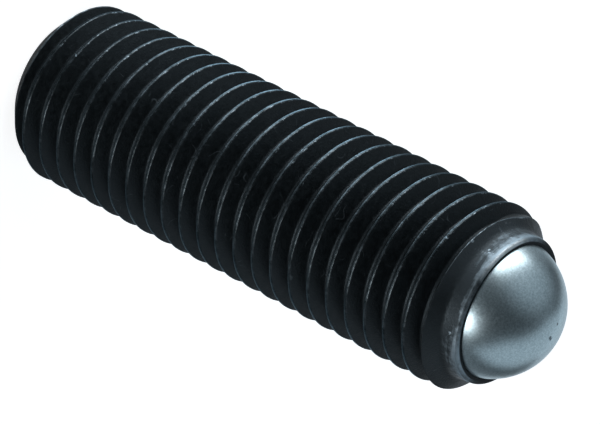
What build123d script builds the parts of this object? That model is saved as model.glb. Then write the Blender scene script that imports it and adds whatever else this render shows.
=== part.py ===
"""Ball clamping screw: a headless screw with a hexagon socket, and a steel ball rolled into its tip.

The screw stands on its flat rear end, with the ball up and +Z along its axis.
The origin is the centre of the rear face. All lengths are in millimetres, angles in degrees.
"""

from build123d import *
from math import ceil, cos, floor, pi, radians, sin, sqrt, tan
import os

# Thread: metric profile, left-hand as the screw shows it
thread_diameter = 16.0
thread_pitch = 2.0
thread_flank_angle = 30.0
thread_is_left_hand = True
# Height of a crest's middle on the +X side, just above the rear face
crest_crossing = 0.55

# Run-out: at the front a disc, set off from the axis, closes the last groove. Its offset, the azimuth
# at which it stands out furthest, and the angle from there back to where it leaves the groove's root.
runout_offset = 1.3
runout_azimuth = 105.0
runout_swing = 105.0
# The closed stretch lies this far under the crests
runout_step = 0.1

# Body, from the rear face to the end of the rolled lip
body_length = 49.07
rear_chamfer = 1.85

# Ball pocket: the metal left between it and the thread's root, and the gap all round the ball.
# With the thread above they leave room for a 12 mm ball.
pocket_wall = 0.733
ball_gap = 0.04
seat_cone_angle = 120.0

# Shoulder and collar: the collar is turned to just under the thread's root, and its front end is
# drawn in over the ball
shoulder_angle = 52.0
collar_relief = 0.213
collar_length = 1.62
collar_draw_in = 0.18

# Lip: its flat end stands this far above the ball's middle, and its outer edge is rounded
lip_reach = 1.62
lip_edge_radius = 0.2

# Hexagon socket in the rear face
socket_across_flats = 8.0
socket_depth = 10.0
socket_cone_angle = 120.0
socket_mouth_margin = 0.25


# Thread profile by the metric standard: a sharp triangle, flattened by 1/8 of the pitch at the
# crest and 1/6 of the pitch at the root
sharp_height = thread_pitch / 2 / tan(radians(thread_flank_angle))
thread_depth = sharp_height * (1 - 1 / 8 - 1 / 6)
crest_half = thread_pitch / 8 / 2
root_half = thread_pitch / 6 / 2
thread_radius = thread_diameter / 2
root_radius = thread_radius - thread_depth

# Ball and pocket. The ball stands off its conical seat by the same gap as off the pocket's wall.
pocket_radius = root_radius - pocket_wall
ball_radius = pocket_radius - ball_gap
ball_height = body_length - lip_reach
lip_inner_radius = sqrt(pocket_radius**2 - lip_reach**2)
seat_half_angle = radians(seat_cone_angle / 2)
seat_apex_height = ball_height - pocket_radius / sin(seat_half_angle)
seat_rim_height = seat_apex_height + pocket_radius / tan(seat_half_angle)

# Collar and shoulder
collar_root_radius = root_radius - collar_relief
collar_edge_radius = collar_root_radius - collar_draw_in
collar_root_height = body_length - collar_length
shoulder_slope = tan(radians(shoulder_angle))
shoulder_height = collar_root_height - (thread_radius - collar_root_radius) / shoulder_slope

# Socket
socket_drill_radius = socket_across_flats / 2
socket_cone_height = socket_drill_radius / tan(radians(socket_cone_angle / 2))
socket_mouth_radius = socket_across_flats / sqrt(3) + socket_mouth_margin
socket_mouth_height = socket_mouth_radius / tan(radians(socket_cone_angle / 2))

# The teeth are made on a sleeve as thick as the pocket's wall, and a solid core fills it. The first
# tooth starts two turns below the rear face, and the last one ends past the lip.
sleeve_radius = root_radius - pocket_wall
core_radius = root_radius - pocket_wall / 2
first_crest = crest_crossing - 2 * thread_pitch
tooth_count = ceil((body_length - first_crest) / thread_pitch) + 1
sleeve_bottom = first_crest - thread_pitch / 2
sleeve_top = sleeve_bottom + tooth_count * thread_pitch

# Run-out disc: its edge meets the root at the end of the swing. It stands on the last crest below the
# shoulder, in a plane with the thread's lead, so that it fills the groove above that crest alone.
hand = -1 if thread_is_left_hand else 1
runout_radius = sqrt(
    root_radius**2 + runout_offset**2 - 2 * root_radius * runout_offset * cos(radians(runout_swing))
)
crest_at_runout = crest_crossing + hand * thread_pitch * runout_azimuth / 360
runout_turns = floor((shoulder_height - crest_half - crest_at_runout) / thread_pitch)
runout_height = crest_at_runout + runout_turns * thread_pitch
lead_slope = hand * thread_pitch / (2 * pi * thread_radius)
runout_outward = Vector(cos(radians(runout_azimuth)), sin(radians(runout_azimuth)), 0)
runout_along = Vector(-sin(radians(runout_azimuth)), cos(radians(runout_azimuth)), 0)
runout_plane = Plane(
    origin=(0, 0, runout_height),
    x_dir=runout_outward,
    z_dir=Vector(0, 0, 1) - runout_along * lead_slope,
)

# The turned outline is left this wide where the crests are already at size
trim_radius = thread_diameter


# Teeth of the whole sleeve, in the radial plane through +X
tooth_points = [(sleeve_radius, sleeve_bottom), (root_radius, sleeve_bottom)]
for tooth in range(tooth_count):
    crest = first_crest + tooth * thread_pitch
    tooth_points += [
        (root_radius, crest - thread_pitch / 2 + root_half),
        (thread_radius, crest - crest_half),
        (thread_radius, crest + crest_half),
        (root_radius, crest + thread_pitch / 2 - root_half),
    ]
tooth_points += [(root_radius, sleeve_top), (sleeve_radius, sleeve_top)]

with BuildSketch(Plane.XZ) as tooth_section:
    with BuildLine():
        Polyline(*tooth_points, close=True)
    make_face()

# Half a turn of the thread: the teeth swept along the lead helix
with BuildPart() as half_turn:
    with BuildLine() as lead:
        Helix(
            pitch=thread_pitch,
            height=thread_pitch / 2,
            radius=thread_radius,
            lefthand=thread_is_left_hand,
        )
    sweep(tooth_section.sketch, path=lead.line, is_frenet=True)

# The second half turn starts where the first one ends, half a pitch up
second_half = Location((0, 0, thread_pitch / 2), (0, 0, 180))


# Threaded body: teeth, core and run-out, trimmed to the turned outline, then the pocket and the socket
with BuildPart() as threaded_body:
    add(half_turn.part)
    with Locations(second_half):
        add(half_turn.part)

    with BuildSketch(Plane.XY.offset(sleeve_bottom)):
        Circle(core_radius)
    extrude(amount=sleeve_top - sleeve_bottom)

    with BuildSketch(runout_plane):
        with Locations((runout_offset, 0)):
            Circle(runout_radius)
        Circle(thread_radius - runout_step, mode=Mode.INTERSECT)
    extrude(amount=sleeve_top - runout_height)

    with BuildSketch(Plane.YZ) as outline:
        with BuildLine():
            Polyline(
                (0, 0),
                (thread_radius - rear_chamfer, 0),
                (trim_radius, rear_chamfer + trim_radius - thread_radius),
                (trim_radius, shoulder_height - (trim_radius - thread_radius) / shoulder_slope),
                (collar_root_radius, collar_root_height),
                (collar_edge_radius, body_length),
                (0, body_length),
                close=True,
            )
        make_face()
        lip_edge = outline.vertices().sort_by_distance((collar_edge_radius, body_length))[0]
        fillet(lip_edge, radius=lip_edge_radius)
    revolve(axis=Axis.Z, mode=Mode.INTERSECT)

    # Ball pocket: conical seat, straight bore up to the ball's middle, and the lip's hollow
    with BuildSketch(Plane.YZ):
        with BuildLine():
            Line((0, body_length), (0, seat_apex_height))
            Line((0, seat_apex_height), (pocket_radius, seat_rim_height))
            Line((pocket_radius, seat_rim_height), (pocket_radius, ball_height))
            RadiusArc((pocket_radius, ball_height), (lip_inner_radius, body_length), -pocket_radius)
            Line((lip_inner_radius, body_length), (0, body_length))
        make_face()
    revolve(axis=Axis.Z, mode=Mode.SUBTRACT)

    # Socket: hexagon with two flats across X, the drill's cone below it, and a countersunk mouth
    with BuildSketch(Plane.XY):
        RegularPolygon(radius=socket_across_flats / 2, side_count=6, major_radius=False, rotation=30)
    extrude(amount=socket_depth, mode=Mode.SUBTRACT)
    with BuildSketch(Plane.YZ):
        with BuildLine():
            Polyline(
                (0, socket_depth),
                (socket_drill_radius, socket_depth),
                (0, socket_depth + socket_cone_height),
                close=True,
            )
        make_face()
        with BuildLine():
            Polyline((0, 0), (socket_mouth_radius, 0), (0, socket_mouth_height), close=True)
        make_face()
    revolve(axis=Axis.Z, mode=Mode.SUBTRACT)


# Ball: hardened and ground, a whole sphere that turns in its pocket
with BuildPart(Plane.XY.offset(ball_height)) as ball:
    Sphere(ball_radius)


os.makedirs("parts", exist_ok=True)

threaded_body.part.label = "threaded_body"
export_step(threaded_body.part, "parts/threaded_body.step")

ball.part.label = "ball"
export_step(ball.part, "parts/ball.step")
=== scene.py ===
import math

import bmesh
import bpy
import numpy as np
from mathutils import Matrix, Vector


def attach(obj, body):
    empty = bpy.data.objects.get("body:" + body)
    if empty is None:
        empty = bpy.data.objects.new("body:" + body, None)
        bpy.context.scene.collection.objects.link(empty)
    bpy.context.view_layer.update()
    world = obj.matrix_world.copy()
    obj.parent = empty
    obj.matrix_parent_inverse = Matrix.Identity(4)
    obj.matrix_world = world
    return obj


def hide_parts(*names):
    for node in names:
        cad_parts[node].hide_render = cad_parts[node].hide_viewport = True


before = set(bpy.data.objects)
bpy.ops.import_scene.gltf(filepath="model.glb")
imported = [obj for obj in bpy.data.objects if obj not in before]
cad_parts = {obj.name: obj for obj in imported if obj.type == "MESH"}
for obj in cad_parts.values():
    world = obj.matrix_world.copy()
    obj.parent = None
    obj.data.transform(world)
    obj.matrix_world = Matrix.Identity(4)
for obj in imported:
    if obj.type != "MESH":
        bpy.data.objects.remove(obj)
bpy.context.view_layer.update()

MM = 0.001


# Camera. The screw stands on its flat rear end in its own frame, and the photograph shows it lying
# with the ball towards the lower right, so the camera looks down past the ball and is rolled over.
camera_elevation = math.radians(32.405)
camera_roll = math.radians(117.3)
camera_place = Vector((0.53, -277.42, 203.40)) * MM
camera_lens_mm = 238.99
sensor_width_mm = 36.0
nearest_seen = 0.01
furthest_seen = 10.0

camera_data = bpy.data.cameras.new("camera")
camera_data.lens = camera_lens_mm
camera_data.sensor_fit = "HORIZONTAL"
camera_data.sensor_width = sensor_width_mm
camera_data.clip_start = nearest_seen
camera_data.clip_end = furthest_seen
camera = bpy.data.objects.new("camera", camera_data)
tilt = Matrix.Rotation(math.pi / 2 - camera_elevation, 4, "X")
camera.matrix_world = Matrix.Translation(camera_place) @ tilt @ Matrix.Rotation(camera_roll, 4, "Z")
bpy.context.scene.collection.objects.link(camera)
bpy.context.scene.camera = camera
bpy.context.scene.view_settings.view_transform = "Standard"


# Studio floor and air. A plain sheet of pale paper lies under the rear end and takes the screw's shadow.
# It is white to the camera and only faintly white in the metal, where the photograph's ball mirrors a
# mid-grey ground. The air is a dim cool grey, lighter over the side of the long softbox.
plain_white = "#FFFFFF"
cool_white = "#EAF6FF"
paper_grey = "#C9D0D4"
floor_size = 3.0
white_to_camera = 0.84
white_in_metal = 0.08


def srgb(code):
    """An sRGB hex colour as the linear RGBA that the nodes take."""
    parts = [int(code[i : i + 2], 16) / 255 for i in (1, 3, 5)]
    return [p / 12.92 if p <= 0.04045 else ((p + 0.055) / 1.055) ** 2.4 for p in parts] + [1.0]


def add_node(tree, kind, settings=None, **links):
    """A new node with its settings. Its inputs, by name or _number, take a value, a socket, or a node,
    which stands for its first output that is in use."""
    node = tree.nodes.new(kind)
    for name, value in (settings or {}).items():
        setattr(node, name, value)
    for name, value in links.items():
        if name[0] == "_":
            socket = node.inputs[int(name[1:])]
        else:
            socket = node.inputs[name.replace("_", " ")]
        if isinstance(value, bpy.types.Node):
            value = next(output for output in value.outputs if output.enabled)
        if isinstance(value, bpy.types.NodeSocket):
            tree.links.new(value, socket)
        else:
            socket.default_value = value
    return node


def new_material(name):
    """An empty node material, and its tree."""
    material = bpy.data.materials.new(name)
    material.use_nodes = True
    material.node_tree.nodes.clear()
    return material, material.node_tree


# Settings that many nodes share: a smooth rise between two values, and sums of two or three values
smooth_rise = {"interpolation_type": "SMOOTHSTEP"}
product = {"operation": "MULTIPLY"}
product_plus = {"operation": "MULTIPLY_ADD"}
larger = {"operation": "MAXIMUM"}

# Matt paper: an even white with no sheen. Its glow is there for the camera, and a little for the metal.
floor_paint, tree = new_material("matt_white_paper")
path = add_node(tree, "ShaderNodeLightPath")
seen_in_metal = add_node(
    tree, "ShaderNodeMath", larger,
    _0=path.outputs["Is Glossy Ray"], _1=path.outputs["Is Transmission Ray"],
)
seen_in_metal = add_node(tree, "ShaderNodeMath", product, _0=seen_in_metal, _1=white_in_metal)
whiteness = add_node(
    tree, "ShaderNodeMath", product_plus,
    _0=path.outputs["Is Camera Ray"], _1=white_to_camera, _2=seen_in_metal,
)
glow = add_node(tree, "ShaderNodeEmission", Color=srgb(plain_white), Strength=whiteness)
matt = add_node(tree, "ShaderNodeBsdfDiffuse", Color=srgb(paper_grey))
both = add_node(tree, "ShaderNodeAddShader", _0=glow, _1=matt)
add_node(tree, "ShaderNodeOutputMaterial", Surface=both)

half = floor_size / 2
floor_corners = [(-half, -half, 0), (half, -half, 0), (half, half, 0), (-half, half, 0)]
floor_mesh = bpy.data.meshes.new("floor")
floor_mesh.from_pydata(floor_corners, [], [(0, 1, 2, 3)])
floor_mesh.materials.append(floor_paint)
floor = bpy.data.objects.new("floor", floor_mesh)
bpy.context.scene.collection.objects.link(floor)

# The air's glow lies round this direction, and ends where the cosine of the angle to it is glow_edge
air_dim = 0.055
air_glow = 0.44
glow_azimuth = math.radians(-176)
glow_elevation = math.radians(34)
glow_edge = 0.55
glow_side = Vector((
    math.cos(glow_azimuth) * math.cos(glow_elevation),
    math.sin(glow_azimuth) * math.cos(glow_elevation),
    math.sin(glow_elevation),
))

world = bpy.data.worlds.new("studio_air")
world.use_nodes = True
tree = world.node_tree
tree.nodes.clear()
path = add_node(tree, "ShaderNodeLightPath")
ray = add_node(tree, "ShaderNodeTexCoord")
to_glow = add_node(
    tree, "ShaderNodeVectorMath", {"operation": "DOT_PRODUCT"}, _0=ray.outputs["Generated"], _1=glow_side,
)
air_level = add_node(
    tree, "ShaderNodeMapRange", smooth_rise,
    Value=to_glow, From_Min=glow_edge, From_Max=1.0, To_Min=air_dim, To_Max=air_dim + air_glow,
)
air = add_node(tree, "ShaderNodeBackground", Color=srgb(cool_white), Strength=air_level)
white = add_node(tree, "ShaderNodeBackground", Color=srgb(plain_white), Strength=1.0)
shown = add_node(tree, "ShaderNodeMixShader", _0=path.outputs["Is Camera Ray"], _1=air, _2=white)
add_node(tree, "ShaderNodeOutputWorld", Surface=shown)
bpy.context.scene.world = world


# Lamps. Two white softboxes stand low at the sides and make the highlights on the ball. One softbox
# and a dim card lie on the floor, light the crests from below and show in the ball's lower side. Two
# broad dim cards stand behind, for the ball's soft far side. Azimuths are in degrees, sizes in metres.
def softbox(name, azimuth, distance, height, width, tall, radiance, looks_up=0.0, colour=cool_white):
    """A rectangular area lamp that faces the screw's axis, or looks up by this many degrees."""
    data = bpy.data.lights.new(name, "AREA")
    data.shape = "RECTANGLE"
    data.size = width
    data.size_y = tall
    data.energy = radiance * math.pi * width * tall
    data.color = srgb(colour)[:3]
    lamp = bpy.data.objects.new(name, data)
    angle = math.radians(azimuth)
    place = Vector((math.cos(angle) * distance, math.sin(angle) * distance, height))
    tip = math.pi / 2 + math.radians(looks_up)
    facing = Matrix.Rotation(angle + math.pi / 2, 4, "Z") @ Matrix.Rotation(tip, 4, "X")
    lamp.matrix_world = Matrix.Translation(place) @ facing
    lamp.visible_camera = False
    bpy.context.scene.collection.objects.link(lamp)


softbox(
    "side_softbox", azimuth=-163, distance=0.150, height=0.040,
    width=0.136, tall=0.072, radiance=4.8, colour=plain_white,
)
softbox(
    "front_softbox", azimuth=-49, distance=0.150, height=0.036,
    width=0.060, tall=0.068, radiance=7.2, colour=plain_white,
)
softbox(
    "floor_softbox", azimuth=-166, distance=0.058, height=0.001,
    width=0.064, tall=0.080, radiance=4.4, looks_up=90,
)
softbox(
    "floor_card", azimuth=84, distance=0.130, height=0.001,
    width=0.150, tall=0.130, radiance=0.60, looks_up=90,
)
softbox("back_card", azimuth=50, distance=0.250, height=0.385, width=0.880, tall=0.530, radiance=0.60)
softbox("back_low_card", azimuth=95, distance=0.200, height=0.058, width=0.160, tall=0.112, radiance=0.58)


# Threaded body. One piece of heat-treated steel, turned, cut with a left-hand thread and blackened in
# a hot oxide bath. The crests are rubbed, and the front end is rolled in over the ball and scuffed.
# Lengths are in millimetres, with the values of the CAD body.
thread_radius = 8.0
thread_pitch = 2.0
crest_half = thread_pitch / 8 / 2
flank_slope = math.sqrt(3)
root_radius = thread_radius - thread_pitch / 2 * flank_slope * (1 - 1 / 8 - 1 / 6)
lead = thread_pitch / (2 * math.pi)
# Height of a crest's middle on the +X side, just above the rear face
crest_crossing = 0.55

rear_chamfer = 1.85
body_length = 49.07
lip_reach = 1.62
pocket_centre = body_length - lip_reach
pocket_wall = 0.733
pocket_radius = root_radius - pocket_wall

# Points of the outline, as radius and height: the collar's root and the lip's outer edge
collar_relief = 0.213
collar_draw_in = 0.18
collar_root = (root_radius - collar_relief, pocket_centre)
lip_edge = (collar_root[0] - collar_draw_in, body_length)
shoulder_slope = math.tan(math.radians(52))
shoulder_start = collar_root[1] - (thread_radius - collar_root[0]) / shoulder_slope

socket_half = 4.0
socket_depth = 10.0
socket_mouth = 4.87
# The drill's point and the ball's seat are both cones of 120 degrees
cone_half_angle = math.radians(60)
cone_slope = 1 / math.tan(cone_half_angle)

# Run-out: a disc, set off from the axis and standing on the last crest, closes the last groove
runout_offset = 1.3
runout_azimuth = math.radians(105)
runout_swing = math.radians(105)
runout_step = 0.1
runout_radius = math.sqrt(
    root_radius**2 + runout_offset**2 - 2 * root_radius * runout_offset * math.cos(runout_swing)
)
crest_at_runout = crest_crossing - lead * runout_azimuth
runout_turns = math.floor((shoulder_start - crest_half - crest_at_runout) / thread_pitch)
runout_height = crest_at_runout + runout_turns * thread_pitch

# Roundings. The lip's edge is rubbed rounder than it was turned. The others are the reach of a soft
# corner: crest edges, groove's root, turned edges and collar root.
lip_round = 0.3
crest_rounding = 0.10
root_rounding = 0.12
turned_rounding = 0.09
collar_rounding = 0.30


def soft_min(a, b, reach):
    """The lower of two, with the corner between them rounded over this reach."""
    h = np.clip(0.5 + 0.5 * (b - a) / reach, 0, 1)
    return b + (a - b) * h - reach * h * (1 - h)


def disc_radius(angle, centre_x, centre_y, radius):
    """How far a disc with this centre reaches from the axis at this angle."""
    along = centre_x * np.cos(angle) + centre_y * np.sin(angle)
    across = centre_x * np.sin(angle) - centre_y * np.cos(angle)
    return along + np.sqrt(radius**2 - across**2)


def turned_outline(height):
    """Radius that the rear chamfer, the shoulder cone and the collar leave at this height."""
    chamfer = thread_radius - rear_chamfer + height
    cone = collar_root[0] + (collar_root[1] - height) * shoulder_slope
    collar = collar_root[0] + (collar_root[1] - height) * collar_draw_in / lip_reach
    return np.minimum(chamfer, -soft_min(-cone, -collar, collar_rounding))


def grooved_surface(height, angle):
    """Radius of the thread with its closed last groove, before the ends are turned."""
    phase = (height - crest_crossing + lead * angle) / thread_pitch
    from_crest = np.abs(phase - np.round(phase)) * thread_pitch
    flank = thread_radius - (from_crest - crest_half) * flank_slope
    teeth = soft_min(thread_radius, flank, crest_rounding)
    # The closing disc leans with the thread's lead, so its middle drifts as it rises
    drift = -lead / thread_radius * (height - runout_height)
    drift_x = drift * math.sin(runout_azimuth)
    drift_y = -drift * math.cos(runout_azimuth)
    offset_x = runout_offset * math.cos(runout_azimuth) + drift_x
    offset_y = runout_offset * math.sin(runout_azimuth) + drift_y
    closed = np.minimum(
        disc_radius(angle, offset_x, offset_y, runout_radius),
        disc_radius(angle, drift_x, drift_y, thread_radius - runout_step),
    )
    disc_foot = runout_height - lead / thread_radius * closed * np.sin(angle - runout_azimuth)
    core = np.where(height > disc_foot, np.maximum(closed, root_radius), root_radius)
    return -soft_min(-teeth, -core, root_rounding)


def thread_surface(height, angle):
    """Radius of the finished surface at this height and angle."""
    return soft_min(turned_outline(height), grooved_surface(height, angle), turned_rounding)


columns = 168
turn = np.radians(np.arange(columns) * 360 / columns)
vertices = []
faces = []


def ring(radius, height):
    """Vertices round the axis at this radius and height, and their numbers."""
    first = len(vertices)
    r = np.broadcast_to(radius, columns)
    h = np.broadcast_to(height, columns)
    vertices.extend(zip(r * np.cos(turn), r * np.sin(turn), h))
    return list(range(first, first + columns))


def add_bands(rings):
    """Quads between each ring and the next one."""
    for here, there in zip(rings[:-1], rings[1:]):
        for j in range(columns):
            k = (j + 1) % columns
            faces.append((here[j], here[k], there[k], there[j]))


def add_tip(last_ring, height):
    """Triangles from a ring to a point on the axis."""
    vertices.append((0, 0, height))
    for j in range(columns):
        faces.append((last_ring[j], last_ring[(j + 1) % columns], len(vertices) - 1))


# Socket: a hexagon with a countersunk mouth, and the drill's cone behind it
to_flat = (turn + math.pi / 6) % (math.pi / 3) - math.pi / 6
hexagon = socket_half / np.cos(to_flat)
rear_ring = ring(thread_radius - rear_chamfer, 0.0)
socket_rings = [
    rear_ring,
    ring(socket_mouth, 0.0),
    ring(hexagon, (socket_mouth - hexagon) * cone_slope),
    ring(hexagon, socket_depth / 2),
    ring(hexagon, socket_depth),
    ring(socket_half, socket_depth),
    ring(socket_half / 2, socket_depth + socket_half / 2 * cone_slope),
]
add_bands(socket_rings)
add_tip(socket_rings[-1], socket_depth + socket_half * cone_slope)
# All faces so far belong to the socket, and are turned to look into it
faces = [tuple(reversed(face)) for face in faces]

# Level rows where the turned ends cut the thread, close enough to draw that cut cleanly. They reach a
# little way past the chamfer, and from below the run-out to above the collar's rounded root.
rear_step = 0.04
front_step = 0.02
rear_rows = np.arange(rear_step, rear_chamfer + 0.1, rear_step)
front_rows = np.arange(runout_height - 0.5, collar_root[1] + collar_rounding, front_step)
rear_rings = [rear_ring] + [ring(thread_surface(row, turn), row) for row in rear_rows]
front_rings = [ring(thread_surface(row, turn), row) for row in front_rows]
add_bands(rear_rings)
add_bands(front_rings)

# Between them the rows follow the thread's lead. They lie close on a crest and in the groove's root,
# at these distances from a crest's middle.
over_crest = [-0.19, -0.15, -0.11, -0.06, 0, 0.06, 0.11, 0.15, 0.19]
crest_rows = [-1.0, -0.88, -0.83, -0.76] + over_crest + [0.76, 0.83, 0.88]
crests = range(math.ceil(body_length / thread_pitch) + 1)
steps = np.array([crest_crossing + crest * thread_pitch + row for crest in crests for row in crest_rows])
low_ring = rear_rings[-1]
high_ring = front_rings[0]
threads = []
for j in range(columns):
    numbers = []
    heights = steps - lead * turn[j]
    for height, radius in zip(heights, thread_surface(heights, turn[j])):
        if height <= rear_rows[-1]:
            numbers.append(low_ring[j])
        elif height >= front_rows[0]:
            numbers.append(high_ring[j])
        else:
            numbers.append(len(vertices))
            vertices.append((radius * math.cos(turn[j]), radius * math.sin(turn[j]), height))
    threads.append(numbers)

# After a full turn a row has come down by one pitch
threads.append([low_ring[0]] * len(crest_rows) + threads[0][: -len(crest_rows)])
for here, there in zip(threads[:-1], threads[1:]):
    for i in range(len(steps) - 1):
        corners = (here[i], there[i], there[i + 1], here[i + 1])
        face = tuple(n for k, n in enumerate(corners) if n != corners[k - 1])
        if len(face) > 2:
            faces.append(face)

# Collar with its rounded lip, then the pocket behind the lip, down to the seat
corner = Vector(lip_edge)
before = (Vector(collar_root) - corner).normalized()
after = Vector((-1, 0))
bend = before.angle(after)
reach = lip_round / math.tan(bend / 2)
middle = corner + (before + after).normalized() * (lip_round / math.sin(bend / 2))
start = corner + before * reach - middle
end = corner + after * reach - middle
lip_inner_radius = math.sqrt(pocket_radius**2 - lip_reach**2)
lip_inner_bevel = 0.02
lip_rows = 9
pocket_rows = 9
nose = [front_rings[-1]]
for share in (0.25, 0.5, 0.75):
    nose.append(ring(*Vector(collar_root).lerp(corner + before * reach, share)))
for share in np.linspace(0, 1, lip_rows):
    spoke = (start * (1 - share) + end * share).normalized() * lip_round
    nose.append(ring(*(middle + spoke)))
nose.append(ring(lip_inner_radius + lip_inner_bevel, body_length))
for row in np.linspace(body_length - lip_inner_bevel / 2, pocket_centre, pocket_rows):
    nose.append(ring(math.sqrt(pocket_radius**2 - (row - pocket_centre) ** 2), row))
seat_apex = pocket_centre - pocket_radius / math.sin(cone_half_angle)
for radius in (pocket_radius, pocket_radius / 2):
    nose.append(ring(radius, seat_apex + radius * cone_slope))
add_bands(nose)
add_tip(nose[-1], seat_apex)

sharp_edge = math.radians(40)
body_mesh = bpy.data.meshes.new("threaded_rod")
body_mesh.from_pydata([Vector(v) * MM for v in vertices], [], faces)
body_mesh.shade_smooth()
body_mesh.set_sharp_from_angle(angle=sharp_edge)

# How near each point lies to an edge where the turned ends cut the thread, for the painted highlight along
# it
edge_reach = 0.17
x, y, z = np.array(vertices).T
off_edge = turned_outline(z) - grooved_surface(z, np.arctan2(y, x) % (2 * math.pi))
near_edge = np.clip(1 - np.abs(off_edge) / edge_reach, 0, 1) * (np.hypot(x, y) > collar_root[0])
near_cut_edge = body_mesh.attributes.new("near_cut_edge", "FLOAT", "POINT")
near_cut_edge.data.foreach_set("value", near_edge)

rod = bpy.data.objects.new("threaded_rod", body_mesh)
bpy.context.scene.collection.objects.link(rod)

# Black oxide on steel: a thin, dark, slightly satin skin, burnished grey along the crests and worn through
# to bright steel on the crests' edges and on the rolled end, with painted highlights where the softboxes
# shine
oxide_dark = srgb("#060809")
oxide_light = srgb("#0F1315")
burnished_dark = srgb("#23282A")
burnished_light = srgb("#495054")
bare_steel = srgb("#8997A0")
# The brightest steel is the colour of the painted highlight along the lip
highlight_steel = srgb("#DCE6EB")
difference = {"operation": "SUBTRACT"}
two_colours = {"data_type": "RGBA"}
two_values = {"data_type": "FLOAT"}

# Widths of the patterns in the skin. The last digits count too: they move a pattern along the screw.
mottle_width = 0.45455
rub_width = 0.76923
nick_width = 0.41667
roll_mark_length = 1.6667
roll_mark_width = 0.25
scuff_width = 0.5
ragged_width = 0.25
hairline_bend = 2.8571
hairline_patch = 1.25

black_oxide, tree = new_material("black_oxide_steel")
place = add_node(tree, "ShaderNodeTexCoord")
in_mm = add_node(
    tree, "ShaderNodeVectorMath", {"operation": "SCALE"}, Vector=place.outputs["Object"], Scale=1 / MM,
)
parts = add_node(tree, "ShaderNodeSeparateXYZ", Vector=in_mm)
height_here = parts.outputs["Z"]
from_axis = add_node(tree, "ShaderNodeCombineXYZ", X=parts.outputs["X"], Y=parts.outputs["Y"])
radius_here = add_node(tree, "ShaderNodeVectorMath", {"operation": "LENGTH"}, Vector=from_axis)
outward = add_node(tree, "ShaderNodeVectorMath", {"operation": "NORMALIZE"}, Vector=from_axis)


def on_side(tree, azimuth, reach, full=0):
    """One on this side of the screw, and as far as full, fading to zero this many degrees away."""
    facing = (math.cos(math.radians(azimuth)), math.sin(math.radians(azimuth)), 0)
    turned_to = add_node(tree, "ShaderNodeVectorMath", {"operation": "DOT_PRODUCT"}, _0=outward, _1=facing)
    low, high = math.cos(math.radians(reach)), math.cos(math.radians(full))
    return add_node(tree, "ShaderNodeMapRange", smooth_rise, Value=turned_to, From_Min=low, From_Max=high)


# Oxide: two near blacks in soft patches
mottle = add_node(
    tree, "ShaderNodeTexNoise", Vector=in_mm, Scale=1 / mottle_width, Detail=6.0, Roughness=0.65,
)
mottle = add_node(tree, "ShaderNodeMapRange", smooth_rise, Value=mottle, From_Min=0.35, From_Max=0.7)
colour = add_node(tree, "ShaderNodeMix", two_colours, _0=mottle, _6=oxide_dark, _7=oxide_light)

# Burnished lines along the crests all round, and a painted highlight along the last tooth's edge on the
# shoulder, on the side where the side softbox's highlight falls
rub = add_node(tree, "ShaderNodeTexNoise", Vector=in_mm, Scale=1 / rub_width, Detail=5.0, Roughness=0.75)
shoulder_highlight = add_node(tree, "ShaderNodeAttribute", {"attribute_name": "near_cut_edge"}).outputs["Fac"]
shoulder_highlight = add_node(
    tree, "ShaderNodeMapRange", smooth_rise, Value=shoulder_highlight, From_Min=0.05, From_Max=0.55,
)
shoulder_highlight = add_node(
    tree, "ShaderNodeMath", product, _0=shoulder_highlight, _1=on_side(tree, azimuth=-134, reach=52),
)
burnish_and_highlight = add_node(
    tree, "ShaderNodeMapRange", smooth_rise,
    Value=radius_here, From_Min=thread_radius - 0.08, From_Max=thread_radius - 0.02,
)
burnish_and_highlight = add_node(tree, "ShaderNodeMath", larger, _0=burnish_and_highlight, _1=shoulder_highlight)
burnish_tone = add_node(tree, "ShaderNodeMapRange", smooth_rise, Value=rub, From_Min=0.35, From_Max=0.7)
burnished = add_node(
    tree, "ShaderNodeMix", two_colours, _0=burnish_tone, _6=burnished_dark, _7=burnished_light,
)
colour = add_node(tree, "ShaderNodeMix", two_colours, _0=burnish_and_highlight, _6=colour, _7=burnished)

# Nicks in the crests' edges, a few all round. More of them are painted glints on the side where the side
# softbox's highlight falls, and small bright beads are painted glints where the front softbox's highlight
# falls
front_glint_share = 0.3
more_nicks_where_lit = 0.16
nick_and_glint_brightness = 0.8
front_glint_side = add_node(
    tree, "ShaderNodeMath", product, _0=on_side(tree, azimuth=-70, reach=26), _1=front_glint_share,
)
glint_sides = add_node(
    tree, "ShaderNodeMath", larger, _0=front_glint_side, _1=on_side(tree, azimuth=-132, reach=56),
)
nicks_and_glints = add_node(tree, "ShaderNodeTexNoise", Vector=in_mm, Scale=1 / nick_width, Detail=3.0, Roughness=0.75)
nicks_and_glints = add_node(tree, "ShaderNodeMath", product_plus, _0=glint_sides, _1=more_nicks_where_lit, _2=nicks_and_glints)
nicks_and_glints = add_node(tree, "ShaderNodeMapRange", smooth_rise, Value=nicks_and_glints, From_Min=0.70, From_Max=0.82)
near_crest_top = add_node(
    tree, "ShaderNodeMapRange", smooth_rise,
    Value=radius_here, From_Min=thread_radius - 0.10, From_Max=thread_radius - 0.06,
)
off_crest_top = add_node(
    tree, "ShaderNodeMapRange", smooth_rise,
    Value=radius_here, From_Min=thread_radius - 0.002, From_Max=thread_radius - 0.015,
)
crest_edge = add_node(tree, "ShaderNodeMath", product, _0=near_crest_top, _1=off_crest_top)
nicks_and_glints = add_node(tree, "ShaderNodeMath", product, _0=crest_edge, _1=nicks_and_glints)
# Painted highlight: bare steel along the shoulder edge, on the side where the side softbox's highlight
# falls
line_highlight = add_node(tree, "ShaderNodeMapRange", smooth_rise, Value=rub, From_Min=0.30, From_Max=0.60)
line_highlight = add_node(tree, "ShaderNodeMath", product, _0=shoulder_highlight, _1=line_highlight)
edge_wear_and_glints = add_node(tree, "ShaderNodeMath", product_plus, _0=nicks_and_glints, _1=nick_and_glint_brightness, _2=line_highlight)
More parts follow.
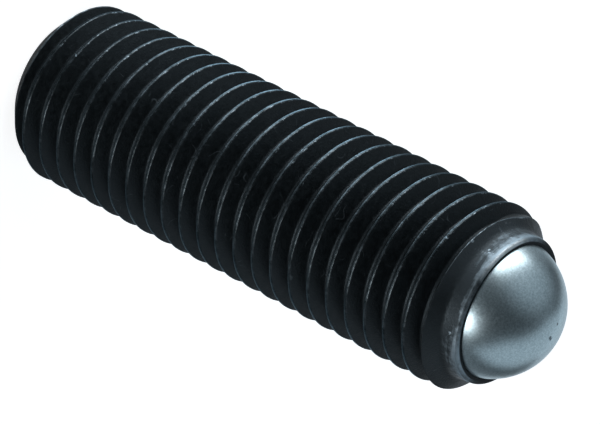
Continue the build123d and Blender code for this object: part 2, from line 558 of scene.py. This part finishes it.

# The rolled end: bright over its front half, where the roller pressed it, with a painted highlight down to
# the shoulder on the side where the side softbox's highlight falls. The marks of the roller run round it.
# The side facing the camera is dulled as painted shade, and the next side brightened as a painted
# highlight.
pressed_shine = 0.50
sheen_side_shine = 0.26
shaded_side_shine = -0.22
highlight_side_shine = 0.18
roll_marks = add_node(
    tree, "ShaderNodeVectorMath", product,
    _0=in_mm, _1=(1 / roll_mark_length, 1 / roll_mark_length, 1 / roll_mark_width),
)
roll_marks = add_node(
    tree, "ShaderNodeTexNoise", Vector=roll_marks, Scale=1.0, Detail=4.0, Roughness=0.6,
)
scuffs_and_sheen = add_node(tree, "ShaderNodeTexNoise", Vector=in_mm, Scale=1 / scuff_width, Detail=5.0, Roughness=0.6)
scuffs_and_sheen = add_node(tree, "ShaderNodeMath", {"operation": "ADD"}, _0=roll_marks, _1=scuffs_and_sheen)
pressed = add_node(
    tree, "ShaderNodeMapRange", smooth_rise,
    Value=height_here, From_Min=body_length - 0.90, From_Max=body_length - 0.25,
)
painted_sheen_side = add_node(
    tree, "ShaderNodeMapRange", smooth_rise,
    Value=height_here, From_Min=pocket_centre - 0.5, From_Max=pocket_centre + 0.4,
)
painted_sheen_side = add_node(
    tree, "ShaderNodeMath", product, _0=on_side(tree, azimuth=-134, reach=42), _1=painted_sheen_side,
)
for where, shine in [
    (pressed, pressed_shine),
    (on_side(tree, azimuth=-84, reach=40), shaded_side_shine),
    (painted_sheen_side, sheen_side_shine),
    (on_side(tree, azimuth=-40, reach=24), highlight_side_shine),
]:
    scuffs_and_sheen = add_node(tree, "ShaderNodeMath", product_plus, _0=where, _1=shine, _2=scuffs_and_sheen)
scuffs_and_sheen = add_node(tree, "ShaderNodeMapRange", smooth_rise, Value=scuffs_and_sheen, From_Min=0.96, From_Max=1.86)
scuffed_part_and_sheen_side = add_node(
    tree, "ShaderNodeMapRange", smooth_rise,
    Value=height_here, From_Min=pocket_centre - 0.1, From_Max=pocket_centre + 0.8,
)
scuffed_part_and_sheen_side = add_node(
    tree, "ShaderNodeMath", larger, _0=scuffed_part_and_sheen_side, _1=on_side(tree, azimuth=-134, reach=45),
)
scuffs_and_sheen = add_node(tree, "ShaderNodeMath", product, _0=scuffs_and_sheen, _1=scuffed_part_and_sheen_side)

# Handling has dulled the whole rolled end a little; a painted sheen adds more on the side softbox's side
dulled_all_round = 0.03
sheen_on_lit_side = 0.08
dulling_and_sheen = add_node(
    tree, "ShaderNodeMath", product_plus,
    _0=on_side(tree, azimuth=-130, reach=54), _1=sheen_on_lit_side, _2=dulled_all_round,
)
roll_wear_and_sheen = add_node(tree, "ShaderNodeMath", larger, _0=scuffs_and_sheen, _1=dulling_and_sheen)

# The flat end round the ball stays dark, unworn and rougher, and the lip's rounding stays dark on the sides
# away from the camera, as painted shade
flat_end_radius = lip_edge[0] - 0.28
flat_end_fade = 0.06
inside_lip = add_node(
    tree, "ShaderNodeMapRange", smooth_rise, Value=radius_here,
    From_Min=flat_end_radius + flat_end_fade, From_Max=flat_end_radius - flat_end_fade,
)
flat_end = add_node(
    tree, "ShaderNodeMapRange", smooth_rise,
    Value=height_here, From_Min=body_length - 0.04, From_Max=body_length - 0.02,
)
flat_end = add_node(tree, "ShaderNodeMath", product, _0=flat_end, _1=inside_lip)
shaded_far_sides = add_node(
    tree, "ShaderNodeMath", difference, _0=1.0, _1=on_side(tree, azimuth=-88, reach=100, full=74),
)
shaded_far_lip = add_node(
    tree, "ShaderNodeMapRange", smooth_rise,
    Value=height_here, From_Min=body_length - 0.22, From_Max=body_length - 0.12,
)
shaded_far_lip = add_node(tree, "ShaderNodeMath", product, _0=shaded_far_sides, _1=shaded_far_lip)
kept_dark = add_node(tree, "ShaderNodeMath", larger, _0=flat_end, _1=shaded_far_lip)
not_kept_dark = add_node(tree, "ShaderNodeMath", difference, _0=1.0, _1=kept_dark)
rolled_end = add_node(
    tree, "ShaderNodeMapRange", smooth_rise,
    Value=height_here, From_Min=shoulder_start, From_Max=shoulder_start + 0.3,
)
rolled_end = add_node(tree, "ShaderNodeMath", product, _0=not_kept_dark, _1=rolled_end)
roll_wear_and_sheen = add_node(tree, "ShaderNodeMath", product, _0=roll_wear_and_sheen, _1=rolled_end)
# All the wear, with the painted highlights, sheen and shade of the crests' edges and the rolled end
wear_and_sheen = add_node(tree, "ShaderNodeMath", larger, _0=edge_wear_and_glints, _1=roll_wear_and_sheen)

# Single knocks: azimuth, height and radius of their middle, and their size. Four of them together
# stand for the hooked nick on the collar. A noise makes them ragged, and would move them by half its
# strength, which is put back.
raggedness = 0.4
knocks = [
    (-108.5, 5.20, 8.00, 0.13),
    (-112, 45.25, 8.00, 0.12),
    (-145.5, 45.40, 8.00, 0.10),
    (-120, 46.77, 7.44, 0.26),
    (-124, 48.00, 6.49, 0.15),
    (-122, 48.18, 6.48, 0.13),
    (-121, 48.36, 6.47, 0.14),
    (-123.5, 48.48, 6.46, 0.12),
    (-110, 48.62, 6.45, 0.13),
    (-145, 48.30, 6.47, 0.10),
    (-56.5, 48.30, 6.47, 0.13),
    (-78, 2.65, 7.40, 0.06),
    (-79.5, 4.65, 7.40, 0.06),
    (-96.5, 4.75, 7.40, 0.07),
    (-87.5, 6.70, 7.40, 0.05),
]
ragged = add_node(tree, "ShaderNodeTexNoise", Vector=in_mm, Scale=1 / ragged_width, Detail=2.0)
ragged = add_node(
    tree, "ShaderNodeVectorMath", product_plus,
    _0=ragged.outputs["Color"], _1=(raggedness, raggedness, raggedness), _2=in_mm,
)
shift = Vector((raggedness, raggedness, raggedness)) / 2
for azimuth, up, out, size in knocks:
    angle = math.radians(azimuth)
    middle = Vector((out * math.cos(angle), out * math.sin(angle), up)) + shift
    away = add_node(tree, "ShaderNodeVectorMath", {"operation": "DISTANCE"}, _0=ragged, _1=middle)
    knock = add_node(
        tree, "ShaderNodeMapRange", smooth_rise, Value=away, From_Min=size, From_Max=size / 2,
    )
    wear_and_sheen = add_node(tree, "ShaderNodeMath", larger, _0=wear_and_sheen, _1=knock)

# Hairline scratches, few and faint: the thin lines along which a slow noise passes its middle value
hairline_brightness = 0.16
noise_middle = 0.5
slow_noise = add_node(tree, "ShaderNodeTexNoise", Vector=in_mm, Scale=1 / hairline_bend, Detail=1.0)
off_middle = add_node(tree, "ShaderNodeMath", difference, _0=slow_noise, _1=noise_middle)
off_middle = add_node(tree, "ShaderNodeMath", {"operation": "ABSOLUTE"}, _0=off_middle)
hairlines = add_node(
    tree, "ShaderNodeMapRange", smooth_rise, Value=off_middle, From_Min=0.004, From_Max=0.001,
)
patches = add_node(tree, "ShaderNodeTexNoise", Vector=in_mm, Scale=1 / hairline_patch, Detail=2.0)
patches = add_node(tree, "ShaderNodeMapRange", smooth_rise, Value=patches, From_Min=0.55, From_Max=0.65)
hairlines = add_node(tree, "ShaderNodeMath", product, _0=hairlines, _1=patches)
wear_and_sheen = add_node(
    tree, "ShaderNodeMath", {**product_plus, "use_clamp": True},
    _0=hairlines, _1=hairline_brightness, _2=wear_and_sheen,
)

# Painted highlight: the worn steel is brighter along the lip, on the side where the side softbox's
# highlight falls
lip_highlight = add_node(
    tree, "ShaderNodeMapRange", smooth_rise,
    Value=height_here, From_Min=body_length - 0.22, From_Max=body_length - 0.10,
)
lip_highlight = add_node(
    tree, "ShaderNodeMath", product, _0=on_side(tree, azimuth=-131, reach=32), _1=lip_highlight,
)
steel = add_node(tree, "ShaderNodeMix", two_colours, _0=lip_highlight, _6=bare_steel, _7=highlight_steel)
colour = add_node(tree, "ShaderNodeMix", two_colours, _0=wear_and_sheen, _6=colour, _7=steel)
metal = add_node(tree, "ShaderNodeMath", {**larger, "use_clamp": True}, _0=burnish_and_highlight, _1=wear_and_sheen)

# Roughness of the oxide, the burnished crests, the rolled end, the lip in front of it, and the end kept
# dark
oxide_rough_low, oxide_rough_high = 0.40, 0.54
burnished_rough = 0.30
rolled_rough, lip_rough = 0.64, 0.46
kept_dark_rough = 0.70
rough = add_node(
    tree, "ShaderNodeMapRange", Value=mottle, To_Min=oxide_rough_low, To_Max=oxide_rough_high,
)
rough = add_node(tree, "ShaderNodeMix", two_values, _0=burnish_and_highlight, _2=rough, _3=burnished_rough)
rough_where_rolled = add_node(
    tree, "ShaderNodeMapRange", Value=height_here, From_Min=body_length - 0.5, From_Max=body_length - 0.2,
    To_Min=rolled_rough, To_Max=lip_rough,
)
rough = add_node(tree, "ShaderNodeMix", two_values, _0=roll_wear_and_sheen, _2=rough, _3=rough_where_rolled)
rough = add_node(tree, "ShaderNodeMix", two_values, _0=kept_dark, _2=rough, _3=kept_dark_rough)

# The bath etches the steel to a fine grain, drawn here coarser than it is so that it shows
etch_width = 0.16667
etch_depth = 0.035
oxide_specular = 0.36
oxide_tint = "#DCF2FF"
grain = add_node(tree, "ShaderNodeTexNoise", Vector=in_mm, Scale=1 / etch_width, Detail=3.0, Roughness=0.6)
etched = add_node(tree, "ShaderNodeBump", Strength=1.0, Distance=etch_depth * MM, Height=grain)
skin = add_node(
    tree, "ShaderNodeBsdfPrincipled", Base_Color=colour, Metallic=metal, Roughness=rough,
    Specular_IOR_Level=oxide_specular, Specular_Tint=srgb(oxide_tint), Normal=etched,
)
add_node(tree, "ShaderNodeOutputMaterial", Surface=skin)
body_mesh.materials.append(black_oxide)

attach(rod, "threaded_body")
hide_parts("threaded_body")


# Ball. A hardened bearing ball, ground and tumbled to an even satin, free to turn in the pocket.
# It is held there by the lip alone.
ball_radius = 6.0

ball_mesh = bpy.data.meshes.new("steel_ball")
shape = bmesh.new()
bmesh.ops.create_icosphere(shape, subdivisions=6, radius=ball_radius * MM)
bmesh.ops.translate(shape, verts=shape.verts, vec=(0, 0, pocket_centre * MM))
shape.to_mesh(ball_mesh)
shape.free()
ball_mesh.shade_smooth()
ball = bpy.data.objects.new("steel_ball", ball_mesh)
bpy.context.scene.collection.objects.link(ball)

# Satin ball steel: bare and cool grey, it shows the softboxes and the floor a little blurred. The
# tumbled grain is finer than this, and is drawn as coarse as it needs to be to show.
satin_dark = srgb("#9CB1B9")
satin_light = srgb("#C4D6DD")
satin_width = 0.15385
satin_rough_low, satin_rough_high = 0.26, 0.42
satin_steel, tree = new_material("satin_ball_steel")
place = add_node(tree, "ShaderNodeTexCoord")
in_mm = add_node(
    tree, "ShaderNodeVectorMath", {"operation": "SCALE"}, Vector=place.outputs["Object"], Scale=1 / MM,
)
grain = add_node(tree, "ShaderNodeTexNoise", Vector=in_mm, Scale=1 / satin_width, Detail=4.0, Roughness=0.7)
grain_tone = add_node(tree, "ShaderNodeMapRange", smooth_rise, Value=grain, From_Min=0.3, From_Max=0.7)
tone = add_node(tree, "ShaderNodeMix", two_colours, _0=grain_tone, _6=satin_dark, _7=satin_light)

# Small dents in the crown, dark with dirt: place from the ball's middle, and size
dirt = srgb("#54626A")
dents = [
    ((0.30, 0.10, 5.99), 0.21),
    ((0.38, 0.32, 5.98), 0.18),
    ((-0.93, 0.28, 5.92), 0.16),
]
from_middle = add_node(tree, "ShaderNodeVectorMath", difference, _0=in_mm, _1=(0, 0, pocket_centre))
for spot, size in dents:
    away = add_node(tree, "ShaderNodeVectorMath", {"operation": "DISTANCE"}, _0=from_middle, _1=spot)
    dent = add_node(tree, "ShaderNodeMapRange", smooth_rise, Value=away, From_Min=size, From_Max=size / 2)
    tone = add_node(tree, "ShaderNodeMix", two_colours, _0=dent, _6=tone, _7=dirt)
rough = add_node(
    tree, "ShaderNodeMapRange", Value=grain, To_Min=satin_rough_low, To_Max=satin_rough_high,
)
skin = add_node(tree, "ShaderNodeBsdfPrincipled", Base_Color=tone, Metallic=1.0, Roughness=rough)
add_node(tree, "ShaderNodeOutputMaterial", Surface=skin)
ball_mesh.materials.append(satin_steel)

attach(ball, "ball")
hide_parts("ball")
